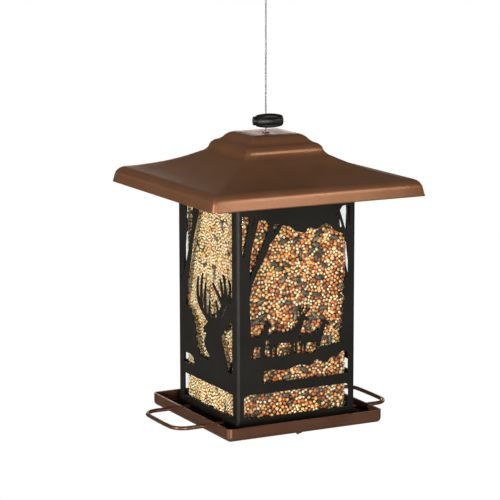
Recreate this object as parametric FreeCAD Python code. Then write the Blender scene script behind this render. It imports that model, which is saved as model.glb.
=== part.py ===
import FreeCAD, Part
import math
import os

from FreeCAD import Vector

# A hanging lantern feeder for wild birds: a pressed tray and roof, a cut-out sheet-metal
# case round a clear seed hopper, and a steel cable up the middle with a sliding lock.
# Millimetres, +Z up. The scenic face looks towards -Y and the perches stand out along X.
# Heights in this file are measured up from the tray's underside. At export everything is
# lowered by HANG_HEIGHT, so that the origin is the inside top of the hanging loop.

# Driving dimensions
HANG_HEIGHT = 460.0
SHEET = 0.9
TRAY_HALF = 84.9
TRAY_HEIGHT = 12.8
CASE_HALF = 64.6
CASE_TOP = 248.0
HOPPER_HALF = 60.3
HOPPER_WALL = 1.5
HOPPER_TOP = 241.0
ROOF_HALF = 114.5
ROOF_EDGE = 226.8
ROOF_TOP = 282.2
CABLE_DIAMETER = 1.6
PERCH_WIRE = 4.0
LOCK_HEIGHT = 293.5

# Tray
TRAY_CORNER = 5.0
TRAY_FOLD = 4.8
TRAY_HEM = 4.0
DRAIN_PLACE = 74.0
DRAIN_DIAMETER = 4.5
HOOK_HOLE = (-48.0, 9.0, 2.2)
HOLE_FIT = 0.1
SLOT_FIT = 0.3

# Perches
PERCH_REACH = 116.6
PERCH_BOW = 1.6
PERCH_HALF_WIDTH = 38.0
PERCH_HEIGHT = 6.4
PERCH_BEND = 14.0
PERCH_BOW_BEND = 20.0
PERCH_PLAY = 2.0
PERCH_INNER_END = 66.2

# Case
CASE_BOTTOM = SHEET
CASE_BEND = 3.0
SEAM_FROM_CORNER = 5.0
LAP = 3.4
TAB_WIDTH = 8.0
TAB_OFFSET = 3.0
TAB_DROP = 6.0
TAB_TWIST = 25.0
SLOT_LOW = 15.0
SLOT_HIGH = 38.5
SLOT_HALF = 57.5
SIDE_SLOT_HALF = 55.3
SLOT_CORNER = 4.0

# Hopper and what is in it
HOPPER_BOTTOM = SHEET + 0.1
HOPPER_CORNER = 6.0
PORT_HALF = 26.0
PORT_LOW = 12.0
PORT_HIGH = 30.0
PORT_RIM = 1.6
PORT_RIM_RISE = 9.0
DIVERTER_RADIUS = 50.0
DIVERTER_HEIGHT = 30.0
DIVERTER_WALL = 1.2
SEED_MIDDLE = 208.0
SEED_FALL_X = -0.181
SEED_FALL_Y = 0.129
SEED_GAP = 0.3

# Cable, its anchor and its loop
CABLE_START = -6.5
LOOP_POINTS = [
    (0.0, CABLE_START),
    (0.0, 433.0),
    (-12.0, 448.0),
    (-8.0, 460.8),
    (8.0, 460.8),
    (12.5, 447.0),
    (2.0, 431.5),
    (2.0, 415.0),
]
CABLE_TURN_SHARE = 0.45
FERRULE_LOW = 414.0
FERRULE_HIGH = 425.5
FERRULE_WALL = 1.1
FERRULE_EDGE = 0.4
CABLE_CLEARANCE = 0.5
WASHER_RADIUS = 9.0
WASHER_TOP = -0.1
WASHER_BOTTOM = -1.3
STOP_RADIUS = 3.0
STOP_TOP = -1.4
STOP_EDGE = 0.6

# Roof: its side view as bends through three points, each a distance from the axis and a drop
ROOF_BENDS = [
    [(24.5, 0.0), (29.2, 2.2), (31.8, 4.9)],
    [(31.8, 4.9), (34.9, 7.4), (38.2, 8.7)],
    [(38.2, 8.7), (41.2, 11.6), (42.6, 14.8)],
    [(42.6, 14.8), (44.4, 17.8), (48.0, 20.3)],
    [(48.0, 20.3), (66.5, 29.0), (88.0, 35.8)],
    [(88.0, 35.8), (96.0, 37.8), (104.5, 39.3)],
    [(104.5, 39.3), (110.3, 42.1), (112.9, 47.0)],
]
ROOF_HEM = 4.0
ROOF_HOLE = 2.6
GROMMET_RADIUS = 2.55
GROMMET_FLANGE = 3.8
GROMMET_THICK = 0.8
GROMMET_TUCK = 1.0
FLANGE_GAP = 0.02

# Lock: lengths along its own axis from the cable
LOCK_TURN = -15.0
LOCK_LEFT = -9.4
LOCK_RIGHT = 17.1
LOCK_OUTLINE = [(LOCK_LEFT, 5.5), (3.0, 7.15), (14.6, 5.7), (16.4, 4.7), (LOCK_RIGHT, 2.9)]
LOCK_BORE = 4.6
LOCK_BORE_END = 14.0
LOCK_FLUTES = 6
FLUTE_RADIUS = 3.2
FLUTE_PLACE = 9.4
PLUNGER_RADIUS = 4.4
PLUNGER_LEFT = -12.9
PLUNGER_RIGHT = 5.5
PLUNGER_TRAVEL = 3.0
PLUNGER_EDGE = 1.0
PLUNGER_SLOT = 2.8
PINCH_GAP = 0.3
GROOVE_DEPTH = 0.6
GROOVE_WIDTH = 1.0
GROOVE_PLACE = LOCK_LEFT - 0.9
SPRING_WIRE = 0.6
SPRING_RADIUS = 2.3
SPRING_COILS = 5
SPRING_SEAT = 2.0
SEAT_RADIUS = SPRING_RADIUS + SPRING_WIRE
SPRING_GAP = 0.1


# ---------------------------------------------------------------- shared shapes

def box(x0, x1, y0, y1, z0, z1):
    return Part.makeBox(x1 - x0, y1 - y0, z1 - z0, Vector(x0, y0, z0))


def cylinder(radius, z0, z1, x=0.0, y=0.0):
    return Part.makeCylinder(radius, z1 - z0, Vector(x, y, z0))


def along_rod(radius, start, end, y=0.0, z=0.0):
    """A round rod along X."""
    return Part.makeCylinder(radius, end - start, Vector(start, y, z), Vector(1, 0, 0))


def turned(shape, angle):
    """A copy turned about the cable's axis."""
    copy = shape.copy()
    copy.rotate(Vector(0, 0, 0), Vector(0, 0, 1), angle)
    return copy


def quarter_turns(shape, count=4):
    step = 360.0 / count
    return [turned(shape, step * index) for index in range(count)]


def square_block(half, z0, z1, corner):
    """A square block on the axis with its upright edges rounded."""
    block = box(-half, half, -half, half, z0, z1)
    uprights = [edge for edge in block.Edges if abs(edge.tangentAt(edge.FirstParameter).z) > 0.9]
    return block.makeFillet(corner, uprights)


def rounded_floor(block, z0, radius):
    """The same block with the edges round its bottom face rounded."""
    low = [edge for edge in block.Edges if edge.BoundBox.ZMax < z0 + 0.01]
    return block.makeFillet(radius, low)


def flat(points):
    """A face in the XZ plane with straight sides."""
    corners = [Vector(u, 0, z) for u, z in points]
    return Part.Face(Part.makePolygon(corners + corners[:1]))


def blob(points):
    """A face in the XZ plane with one smooth closed outline."""
    curve = Part.BSplineCurve()
    curve.interpolate(Points=[Vector(u, 0, z) for u, z in points], PeriodicFlag=True)
    return Part.Face(Part.Wire(curve.toShape()))


def smooth_side(points):
    if len(points) == 2:
        return Part.LineSegment(points[0], points[1]).toShape()
    curve = Part.BSplineCurve()
    curve.interpolate(points)
    return curve.toShape()


def limb(stations):
    """A tapering branch in the XZ plane through stations of (u, z, width)."""
    near = []
    far = []
    last = len(stations) - 1
    for index, (u, z, width) in enumerate(stations):
        before = stations[max(index - 1, 0)]
        after = stations[min(index + 1, last)]
        run = Vector(after[0] - before[0], 0, after[1] - before[1]).normalize()
        side = Vector(-run.z, 0, run.x) * (width / 2.0)
        near.append(Vector(u, 0, z) + side)
        far.append(Vector(u, 0, z) - side)
    far.reverse()
    sides = [smooth_side(near), smooth_side(far)]
    ends = [Part.LineSegment(near[-1], far[0]).toShape(), Part.LineSegment(far[-1], near[0]).toShape()]
    return Part.Face(Part.Wire([sides[0], ends[0], sides[1], ends[1]]))


def bent_path(points, tangents):
    """Straight runs joined by tangent arcs, with each inner corner's tangent length."""
    edges = []
    start = points[0]
    for index, tangent in enumerate(tangents, 1):
        corner = points[index]
        back = points[index - 1] - corner
        ahead = points[index + 1] - corner
        back.normalize()
        ahead.normalize()
        enter = corner + back * tangent
        leave = corner + ahead * tangent
        half_turn = (math.pi - back.getAngle(ahead)) / 2.0
        radius = tangent / math.tan(half_turn)
        inward = (back + ahead).normalize()
        middle = corner + inward * (radius / math.cos(half_turn) - radius)
        edges.append(Part.LineSegment(start, enter).toShape())
        edges.append(Part.Arc(enter, middle, leave).toShape())
        start = leave
    edges.append(Part.LineSegment(start, points[-1]).toShape())
    return Part.Wire(edges)


def rod(path, diameter):
    """A round rod along a path."""
    first = path.Edges[0]
    start = first.valueAt(first.FirstParameter)
    circle = Part.makeCircle(diameter / 2.0, start, first.tangentAt(first.FirstParameter))
    return path.makePipeShell([Part.Wire(circle)], True, True)


# ---------------------------------------------------------------- tray and perches

def tray():
    outer = rounded_floor(square_block(TRAY_HALF, 0, TRAY_HEIGHT, TRAY_CORNER), 0, TRAY_FOLD)
    hollow = square_block(TRAY_HALF - SHEET, SHEET, TRAY_HEIGHT + 1, TRAY_CORNER - SHEET)
    pan = outer.cut(rounded_floor(hollow, SHEET, TRAY_FOLD - SHEET))
    hem_low = TRAY_HEIGHT - TRAY_HEM
    hem = square_block(TRAY_HALF - SHEET / 2, hem_low, TRAY_HEIGHT, TRAY_CORNER - SHEET / 2)
    hem = hem.cut(square_block(TRAY_HALF - 2 * SHEET, hem_low - 1, TRAY_HEIGHT + 1, TRAY_CORNER - 2 * SHEET))
    pan = pan.fuse(hem)
    holes = [cylinder(DRAIN_DIAMETER / 2, -1, 2, DRAIN_PLACE, DRAIN_PLACE)]
    half_slot = TAB_WIDTH / 2 + SLOT_FIT
    holes.append(box(TAB_OFFSET - half_slot, TAB_OFFSET + half_slot,
                     -CASE_HALF - SLOT_FIT, -CASE_HALF + SHEET + SLOT_FIT, -1, 2))
    cutters = [cylinder(CABLE_DIAMETER / 2 + CABLE_CLEARANCE, -1, 2)]
    for hole in holes:
        cutters += quarter_turns(hole)
    wide = TRAY_HALF + 5
    for side in (-PERCH_HALF_WIDTH, PERCH_HALF_WIDTH):
        cutters.append(along_rod(PERCH_WIRE / 2 + HOLE_FIT, -wide, wide, side, PERCH_HEIGHT))
    y, z, diameter = HOOK_HOLE
    cutters.append(along_rod(diameter / 2, TRAY_HALF - 5, wide, y, z))
    return pan.cut(cutters).removeSplitter()


def perch():
    """The perch on the +X side: a slightly bowed U of round wire through the tray's wall."""
    corners = [
        Vector(PERCH_INNER_END, -PERCH_HALF_WIDTH, PERCH_HEIGHT),
        Vector(PERCH_REACH, -PERCH_HALF_WIDTH, PERCH_HEIGHT),
        Vector(PERCH_REACH + PERCH_BOW, 0, PERCH_HEIGHT),
        Vector(PERCH_REACH, PERCH_HALF_WIDTH, PERCH_HEIGHT),
        Vector(PERCH_INNER_END, PERCH_HALF_WIDTH, PERCH_HEIGHT),
    ]
    return rod(bent_path(corners, [PERCH_BEND, PERCH_BOW_BEND, PERCH_BEND]), PERCH_WIRE)


# ---------------------------------------------------------------- case

def deer(u, ground, size, length=1.0, antlers=False):
    """A plain deer looking right; size is its shoulder height, length stretches its body."""
    def place(stations):
        return [(u + length * size * s[0], ground + size * s[1]) + tuple(size * w for w in s[2:])
                for s in stations]

    trunk = [(-0.62, 0.88), (-0.28, 0.95), (0.12, 0.92), (0.42, 1.02), (0.58, 0.84),
             (0.48, 0.60), (0.12, 0.50), (-0.28, 0.53), (-0.58, 0.58), (-0.70, 0.72)]
    limbs = [
        [(0.36, 0.82, 0.44), (0.60, 1.16, 0.25), (0.72, 1.42, 0.18)],
        [(0.62, 1.40, 0.20), (0.82, 1.38, 0.17), (1.00, 1.31, 0.09)],
        [(0.68, 1.44, 0.10), (0.56, 1.60, 0.05)],
        [(0.74, 1.46, 0.08), (0.76, 1.62, 0.04)],
        [(0.46, 0.66, 0.17), (0.44, 0.34, 0.09), (0.48, -0.10, 0.08)],
        [(0.26, 0.62, 0.15), (0.30, 0.34, 0.09), (0.26, -0.10, 0.08)],
        [(-0.50, 0.68, 0.26), (-0.62, 0.36, 0.10), (-0.56, -0.10, 0.08)],
        [(-0.34, 0.62, 0.22), (-0.42, 0.36, 0.10), (-0.34, -0.10, 0.08)],
        [(-0.66, 0.84, 0.10), (-0.78, 0.66, 0.05)],
    ]
    if antlers:
        limbs += [
            [(0.70, 1.44, 0.07), (0.60, 1.66, 0.06), (0.66, 1.90, 0.04)],
            [(0.60, 1.64, 0.05), (0.78, 1.78, 0.04)],
            [(0.76, 1.44, 0.07), (0.88, 1.64, 0.06), (0.90, 1.88, 0.04)],
            [(0.88, 1.62, 0.05), (1.04, 1.72, 0.04)],
        ]
    return [blob(place(trunk))] + [limb(place(stations)) for stations in limbs]


def shore(points, closing):
    """A face with one smooth uneven edge and straight sides round the back."""
    edge = [Vector(u, 0, z) for u, z in points]
    back = [edge[-1]] + [Vector(u, 0, z) for u, z in closing] + [edge[0]]
    sides = [Part.LineSegment(a, b).toShape() for a, b in zip(back, back[1:])]
    return Part.Face(Part.Wire([smooth_side(edge)] + sides))


def jagged_bush(spine, depth):
    """Leaf points standing out to the right of a leaning line of (u, z)."""
    points = []
    for index in range(len(spine) - 1):
        u, z = spine[index]
        next_u, next_z = spine[index + 1]
        points.append((u, z))
        points.append(((u + next_u) / 2 + depth, (z + next_z) / 2 + depth * 0.6))
    points.append(spine[-1])
    return points


def herd_picture():
    """What is left standing in the wide face: trees, leaves, three deer and the ground."""
    canopy = [(-44, 207), (-37, 207.5), (-30, 206), (-26, 203), (-18, 202.5), (-12, 200), (-7, 199.5),
              (-3, 195), (3, 193), (9, 192.5), (13, 197), (18, 195), (24, 195.5), (29, 199), (35, 199),
              (39, 194.5), (45, 190), (51, 187), (53, 181), (57, 177)]
    leaves = [(57, 146), (54, 143.5), (51, 140), (53, 135.5), (49.8, 130), (53, 124.5), (50.2, 118),
              (52.4, 111.5), (49.2, 105), (51, 98), (47.6, 91), (48.4, 84), (44, 78)]
    ground = [(-60, 74), (-46, 73.2), (-34, 73.8), (-20, 72.8), (-8, 74), (6, 73.6), (20, 73.4),
              (28, 77.5), (38, 79), (47, 80), (60, 78)]
    trunk = [(-59, 60, 16), (-58.5, 124, 15), (-55.5, 155, 8.5), (-52.5, 180, 7.5), (-48, 200, 9),
             (-44, 216, 10)]
    shapes = [
        limb(trunk),
        limb([(-54, 136, 8), (-45.5, 158, 5), (-35.5, 178, 7), (-30.5, 190, 6), (-28.5, 214, 3.6)]),
        limb([(-31.5, 186, 6), (-24, 193, 4), (-13.5, 208, 3)]),
        flat([(-62, 60), (-51.2, 60), (-51.2, 139), (-55, 152), (-56, 172), (-62, 178)]),
        shore(canopy, [(60, 177), (60, 216), (-44, 216)]),
        shore(leaves, [(44, 60), (60, 60), (60, 146)]),
        shore(ground, [(60, 60), (-60, 60)]),
    ]
    shapes += deer(-42, 73, 23, 0.62)
    shapes += deer(-12, 73, 25.5, antlers=True)
    shapes += deer(17, 73, 20.5, 0.92)
    return shapes


def canopy_slits():
    """Slim gaps between the leaves at the top right of the wide face."""
    return [
        flat([(41.5, 208), (44.5, 209.5), (49.5, 195), (47, 193.5)]),
        flat([(47, 211), (50, 215), (54, 215.5), (55, 192), (53.5, 191)]),
        flat([(56, 215), (58, 215), (58, 196), (56.8, 196)]),
        flat([(-49.5, 201), (-45.8, 210.5), (-45.0, 210.2), (-48.6, 201)]),
    ]


def bank_slot():
    """The slot under the herd, with an uneven bank along its top."""
    bank = [(-36, 60.5), (-22, 60.3), (-8, 60), (-2, 62), (6, 62.5), (12, 61), (15, 60.5), (19, 64.5),
            (24, 65.8), (28, 63.5), (34, 62.5), (38, 66.5), (44, 66.4), (48, 69.6), (57, 69)]
    return shore(bank, [(57, 48.5), (-36, 48.5)])


def stag_picture():
    """What is left standing in the narrow view: a leaning tree, a bush and a stag's head."""
    antlers = [
        [(10, 98, 5.5), (-6, 107, 5.5), (-20, 119, 5), (-22, 130, 3.5), (-20, 141, 2.2)],
        [(-13, 112, 5), (-14, 128, 3.6), (-10.5, 146, 2.2)],
        [(-4, 106, 4.5), (-6, 122, 3.6), (-3, 138, 2.2)],
        [(7, 98, 5.0), (4, 110, 3.4), (5.5, 121, 2.2)],
        [(18, 96, 6), (27, 112, 6), (38, 125, 6), (47, 134, 4.5), (46, 149, 2.4)],
        [(33, 119, 5), (38.5, 136, 4), (33.5, 152, 2.4)],
        [(31, 118, 4.5), (32, 134, 3.4), (27, 147, 2.2)],
        [(34, 122, 4.5), (24, 130, 3.6), (11.5, 140, 2.2)],
        [(18, 97, 5.0), (22, 112, 3.4), (18.5, 124, 2.2)],
    ]
    bush = jagged_bush([(-50, 108), (-43, 106), (-36, 101), (-31, 94), (-28.5, 86), (-27, 78),
                        (-24, 70), (-19, 63)], 4.0)
    neck = [(8, 60), (3.5, 67), (-5, 74), (-7, 79), (-4.5, 84), (0, 92), (12, 99), (22, 99), (28, 91.5),
            (34, 80), (43, 62), (44, 57), (28, 48)]
    trunk = [(-60, 96, 18), (-49.5, 132, 11), (-40, 158, 7.5), (-33, 180, 6.5), (-24.5, 202, 8),
             (-18, 230, 9)]
    edge_tree = [(-53, 150), (-50.5, 160), (-47, 175), (-46, 188), (-47, 203), (-49.5, 230)]
    shapes = [
        limb(trunk),
        limb([(-34, 178, 4.5), (-30.5, 200, 3.2), (-28.5, 230, 3.2)]),
        shore(edge_tree, [(-58, 230), (-58, 60), (-53, 60)]),
        flat([(-58, 113)] + bush + [(-19, 56), (-58, 56)]),
        shore([(-30, 62), (-16, 63), (-6, 61.8), (2, 61.5), (9, 66)], [(30, 66), (30, 56), (-30, 56)]),
        blob(neck),
        limb([(22, 98, 17), (8, 97, 13.5), (-2, 92.5, 8.5), (-8, 90.3, 5.5)]),
        limb([(9, 100, 6), (1, 105, 5), (-7, 106.5, 1.5)]),
        shore([(22, 100), (30, 108.5), (38, 115), (42, 122)], [(54, 128), (54, 113.5), (28, 90), (16, 92)]),
        shore([(30, 62), (38, 60.5), (44, 58.6), (50, 58.2), (54, 57.5)], [(54, 54), (30, 54)]),
    ]
    return shapes + [limb(stations) for stations in antlers]


def feeding_slot(half):
    block = box(-half, half, -CASE_HALF - 1, -CASE_HALF + 2, SLOT_LOW, SLOT_HIGH)
    across = [edge for edge in block.Edges if abs(edge.tangentAt(edge.FirstParameter).y) > 0.9]
    return block.makeFillet(SLOT_CORNER, across)


def punch(face):
    """A cutter through the wall on the -Y side."""
    cutter = face.copy()
    cutter.translate(Vector(0, -CASE_HALF - 1, 0))
    return cutter.extrude(Vector(0, 3, 0))


def wide_view_cutters():
    sky = flat([(-59, 73), (50, 73), (56.3, 84), (56.3, 212), (-59, 212)])
    openings = [sky.cut(herd_picture())] + canopy_slits() + [bank_slot()]
    return [punch(face) for face in openings] + [feeding_slot(SLOT_HALF)]


def narrow_view_cutters():
    sky = flat([(-53.5, 57), (53.5, 57), (53.5, 226), (-53.5, 226)])
    small = flat([(-54, 49.5), (-29, 49.5), (-28.5, 53), (-32, 58), (-38, 60), (-54, 59.5)])
    openings = [sky.cut(stag_picture()), small]
    cutters = [punch(face) for face in openings] + [feeding_slot(SIDE_SLOT_HALF)]
    return [turned(cutter, -90) for cutter in cutters]


def twist_tab():
    """A tab under the -Y wall that drops through the tray and is twisted to hold."""
    half = TAB_WIDTH / 2
    middle = -CASE_HALF + SHEET / 2
    neck = box(-half, half, middle - SHEET / 2, middle + SHEET / 2, -0.3, CASE_BOTTOM + 0.5)
    foot = box(-half, half, middle - SHEET / 2, middle + SHEET / 2, -TAB_DROP, -0.2)
    foot.rotate(Vector(0, middle, 0), Vector(0, 0, 1), TAB_TWIST)
    tab = neck.fuse(foot)
    tab.translate(Vector(TAB_OFFSET, 0, 0))
    return tab


def case_half():
    """The left and front walls: one folded sheet, lapped inside its twin at the far edge."""
    outer = square_block(CASE_HALF, CASE_BOTTOM, CASE_TOP, CASE_BEND)
    tube = outer.cut(square_block(CASE_HALF - SHEET, CASE_BOTTOM - 1, CASE_TOP + 1, CASE_BEND - SHEET))
    seam = CASE_HALF - SEAM_FROM_CORNER
    wide = CASE_HALF + 1
    keep_left = box(-wide, 0, -wide, seam, CASE_BOTTOM - 1, CASE_TOP + 1)
    keep_front = box(-1, wide, -wide, -seam - 0.3, CASE_BOTTOM - 1, CASE_TOP + 1)
    sheet = tube.common(keep_left.fuse(keep_front))
    lap = box(CASE_HALF - 2 * SHEET, CASE_HALF - SHEET, -seam - 2, -seam + LAP, CASE_BOTTOM + 2, CASE_TOP - 2)
    tabs = [twist_tab(), turned(twist_tab(), -90)]
    sheet = sheet.fuse([lap] + tabs)
    return sheet.cut(wide_view_cutters() + narrow_view_cutters()).removeSplitter()


# ---------------------------------------------------------------- hopper and seed

def port_rim():
    """A raised clear frame round the feed port on the -Y side, taller than the port."""
    low = PORT_LOW - PORT_RIM
    high = PORT_HIGH + PORT_RIM_RISE
    half = PORT_HALF + PORT_RIM
    front = -HOPPER_HALF - PORT_RIM
    frame = box(-half, half, front, -HOPPER_HALF + 0.2, low, high)
    inside = box(-PORT_HALF, PORT_HALF, front - 1, -HOPPER_HALF + 1, low - 1, PORT_HIGH)
    above = box(-PORT_HALF, PORT_HALF, front - 1, -HOPPER_HALF, PORT_HIGH + PORT_RIM, high - PORT_RIM)
    return frame.cut([inside, above])


def hopper_tube():
    outer = square_block(HOPPER_HALF, HOPPER_BOTTOM, HOPPER_TOP, HOPPER_CORNER)
    inner_half = HOPPER_HALF - HOPPER_WALL
    tube = outer.cut(square_block(inner_half, 0, HOPPER_TOP + 1, HOPPER_CORNER - HOPPER_WALL))
    tube = tube.fuse(quarter_turns(port_rim()))
    port = box(-PORT_HALF, PORT_HALF, -HOPPER_HALF - 3, -inner_half + 1, PORT_LOW, PORT_HIGH)
    return tube.cut(quarter_turns(port)).removeSplitter()


def cone_between(radius, height, floor):
    return Part.makeCone(radius, CABLE_DIAMETER, height, Vector(0, 0, floor))


def seed_diverter():
    """A hollow cone in the middle of the floor that sheds seed towards the four ports."""
    outer = cone_between(DIVERTER_RADIUS, DIVERTER_HEIGHT, HOPPER_BOTTOM)
    inner = cone_between(DIVERTER_RADIUS - 2 * DIVERTER_WALL, DIVERTER_HEIGHT - DIVERTER_WALL, HOPPER_BOTTOM)
    bore = cylinder(CABLE_DIAMETER / 2 + CABLE_CLEARANCE, 0, DIVERTER_HEIGHT + 2)
    return outer.cut([inner, bore])


def seed_mix():
    """The filling, with the sloping top that it settles to."""
    half = HOPPER_HALF - HOPPER_WALL - SEED_GAP
    corners = [(-half, -half), (half, -half), (half, half), (-half, half)]
    low = [Vector(x, y, HOPPER_BOTTOM + SEED_GAP) for x, y in corners]
    high = [Vector(x, y, SEED_MIDDLE + SEED_FALL_X * x + SEED_FALL_Y * y) for x, y in corners]
    wires = [Part.makePolygon(ring + ring[:1]) for ring in (low, high)]
    block = Part.makeLoft(wires, True, True)
    rounded = square_block(half, 0, HOPPER_TOP, HOPPER_CORNER - HOPPER_WALL)
    cone = cone_between(DIVERTER_RADIUS + SEED_GAP, DIVERTER_HEIGHT + SEED_GAP, HOPPER_BOTTOM)
    bore = cylinder(CABLE_DIAMETER / 2 + CABLE_CLEARANCE, 0, HOPPER_TOP)
    return block.common(rounded).cut([cone, bore])


# ---------------------------------------------------------------- cable

def cable_path():
    points = [Vector(x, 0, z) for x, z in LOOP_POINTS]
    runs = [(b - a).Length for a, b in zip(points, points[1:])]
    tangents = [CABLE_TURN_SHARE * min(pair) for pair in zip(runs, runs[1:])]
    return bent_path(points, tangents)


def hanging_cable():
    path = cable_path()
    bends = [edge.Curve.Radius for edge in path.Edges if hasattr(edge.Curve, "Radius")]
    print("cable bend radii", [round(radius, 1) for radius in bends])
    cable = rod(path, CABLE_DIAMETER)
    section = math.pi * CABLE_DIAMETER ** 2 / 4
    print("cable volume", round(cable.Volume), "section times length", round(section * path.Length))
    print("cable length", round(path.Length))
    return cable


def level_edges(shape):
    return [edge for edge in shape.Edges if edge.BoundBox.ZLength < 0.01]


def loop_ferrule():
    """An oval sleeve crimped over both strands under the loop."""
    radius = CABLE_DIAMETER / 2 + FERRULE_WALL
    apart = LOOP_POINTS[-1][0]
    strands = [cylinder(radius, FERRULE_LOW, FERRULE_HIGH, x) for x in (0.0, apart)]
    middle = box(0, apart, -radius, radius, FERRULE_LOW, FERRULE_HIGH)
    sleeve = strands[0].fuse([strands[1], middle]).removeSplitter()
    sleeve = sleeve.makeFillet(FERRULE_EDGE, level_edges(sleeve))
    return sleeve.cut(rod(cable_path(), CABLE_DIAMETER))


def anchor_washer():
    disc = cylinder(WASHER_RADIUS, WASHER_BOTTOM, WASHER_TOP)
    return disc.cut(cylinder(CABLE_DIAMETER / 2 + CABLE_CLEARANCE / 2, WASHER_BOTTOM - 1, 1))


def cable_stop():
    """The sleeve crimped on the cable's lower end, which carries the whole feeder."""
    sleeve = cylinder(STOP_RADIUS, CABLE_START, STOP_TOP)
    sleeve = sleeve.makeFillet(STOP_EDGE, level_edges(sleeve))
    return sleeve.cut(cylinder(CABLE_DIAMETER / 2, CABLE_START, 0))


# ---------------------------------------------------------------- roof

def roof_outline(inset):
    """The roof's side view from the axis outwards, moved in and down by inset."""
    top = ROOF_TOP - inset
    foot = ROOF_EDGE - (1.0 if inset else 0.0)
    bends = [[Vector(r - inset, 0, top - drop) for r, drop in bend] for bend in ROOF_BENDS]
    start = Vector(0, 0, top)
    corner = Vector(ROOF_HALF - inset, 0, foot)
    middle = Vector(0, 0, foot)
    edges = [Part.LineSegment(start, bends[0][0]).toShape()]
    edges += [Part.Arc(*bend).toShape() for bend in bends]
    edges.append(Part.LineSegment(bends[-1][-1], corner).toShape())
    edges.append(Part.LineSegment(corner, middle).toShape())
    edges.append(Part.LineSegment(middle, start).toShape())
    return Part.Face(Part.Wire(edges))


def hipped(profile):
    """A square hipped solid: the same side view seen from the front and from the side."""
    ridge = profile.extrude(Vector(0, 2 * ROOF_HALF + 20, 0))
    ridge.translate(Vector(0, -ROOF_HALF - 10, 0))
    whole = ridge.fuse(turned(ridge, 180)).removeSplitter()
    return whole.common(turned(whole, 90))


def roof_shell():
    outside = hipped(roof_outline(0.0))
    shell = outside.cut(hipped(roof_outline(SHEET)))
    outer = ROOF_HALF
    inner = ROOF_HALF - ROOF_HEM
    hem = box(-outer, outer, -outer, outer, ROOF_EDGE, ROOF_EDGE + SHEET)
    hem = hem.cut(box(-inner, inner, -inner, inner, ROOF_EDGE - 1, ROOF_EDGE + 2))
    hole = cylinder(ROOF_HOLE, ROOF_TOP - 5, ROOF_TOP + 1)
    return shell.fuse(hem.common(outside)).cut(hole).removeSplitter()


def roof_grommet():
    """A flanged eyelet that keeps the cable off the roof's edge."""
    inner_face = ROOF_TOP - SHEET
    low = inner_face - GROMMET_TUCK
    high = ROOF_TOP + GROMMET_THICK
    barrel = cylinder(GROMMET_RADIUS, low, high)
    upper = cylinder(GROMMET_FLANGE, ROOF_TOP + FLANGE_GAP, high)
    lower = cylinder(GROMMET_FLANGE, low, inner_face - FLANGE_GAP)
    bore = cylinder(CABLE_DIAMETER / 2 + CABLE_CLEARANCE, low - 1, high + 1)
    return barrel.fuse([upper, lower]).removeSplitter().cut(bore)


# ---------------------------------------------------------------- lock

def revolved(edges):
    """A solid of revolution about the X axis from a closed run of edges in the XZ plane."""
    return Part.Face(Part.Wire(edges)).revolve(Vector(0, 0, 0), Vector(1, 0, 0), 360)


def on_cable(shape):
    """Turn a lock piece about the cable and lift it to its rest height."""
    placed = turned(shape, LOCK_TURN)
    placed.translate(Vector(0, 0, LOCK_HEIGHT))
    return placed


def lock_barrel():
    left, belly, shoulder, brow, nose = [Vector(x, 0, radius) for x, radius in LOCK_OUTLINE]
    left_end = Vector(LOCK_LEFT, 0, 0)
    right_end = Vector(LOCK_RIGHT, 0, 0)
    edges = [
        Part.LineSegment(left_end, left).toShape(),
        Part.Arc(left, belly, shoulder).toShape(),
        Part.Arc(shoulder, brow, nose).toShape(),
        Part.LineSegment(nose, right_end).toShape(),
        Part.LineSegment(right_end, left_end).toShape(),
    ]
    cutters = [along_rod(LOCK_BORE, LOCK_LEFT - 1, LOCK_BORE_END)]
    cutters.append(cylinder(CABLE_DIAMETER / 2 + CABLE_CLEARANCE, -10, 10))
    for index in range(LOCK_FLUTES):
        angle = 2 * math.pi * (index + 0.5) / LOCK_FLUTES
        y = FLUTE_PLACE * math.cos(angle)
        z = FLUTE_PLACE * math.sin(angle)
        cutters.append(along_rod(FLUTE_RADIUS, LOCK_LEFT - 3, LOCK_RIGHT + 3, y, z))
    return on_cable(revolved(edges).cut(cutters))


def lock_plunger():
    """The push button: a round plunger with a slot that the cable runs through."""
    stem = along_rod(PLUNGER_RADIUS, PLUNGER_LEFT, PLUNGER_RIGHT)
    rims = [edge for edge in stem.Edges if edge.BoundBox.XMax < PLUNGER_LEFT + 0.01]
    stem = stem.makeFillet(PLUNGER_EDGE, rims)
    pinch = CABLE_DIAMETER / 2 + PINCH_GAP
    half = PLUNGER_SLOT / 2
    tall = PLUNGER_RADIUS + 1
    slot = box(-pinch - PLUNGER_TRAVEL - PINCH_GAP, pinch, -half, half, -tall, tall)
    seat = along_rod(SEAT_RADIUS, PLUNGER_RIGHT - SPRING_SEAT, PLUNGER_RIGHT + 1)
    groove = along_rod(PLUNGER_RADIUS + 1, GROOVE_PLACE, GROOVE_PLACE + GROOVE_WIDTH)
    core = along_rod(PLUNGER_RADIUS - GROOVE_DEPTH, GROOVE_PLACE, GROOVE_PLACE + GROOVE_WIDTH)
    return on_cable(stem.cut([slot, seat, groove.cut(core)]))


def lock_spring():
    clear = SPRING_WIRE / 2 + SPRING_GAP
    low = PLUNGER_RIGHT - SPRING_SEAT + clear
    length = LOCK_BORE_END - clear - low
    helix = Part.makeHelix(length / SPRING_COILS, length, SPRING_RADIUS)
    edge = helix.Edges[0]
    start = Vector(SPRING_RADIUS, 0, 0)
    circle = Part.makeCircle(SPRING_WIRE / 2, start, edge.tangentAt(edge.FirstParameter))
    coil = Part.Wire(helix.Edges).makePipeShell([Part.Wire(circle)], True, True)
    coil.rotate(Vector(0, 0, 0), Vector(0, 1, 0), 90)
    coil.translate(Vector(low, 0, 0))
    return on_cable(coil)


# ---------------------------------------------------------------- export

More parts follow.
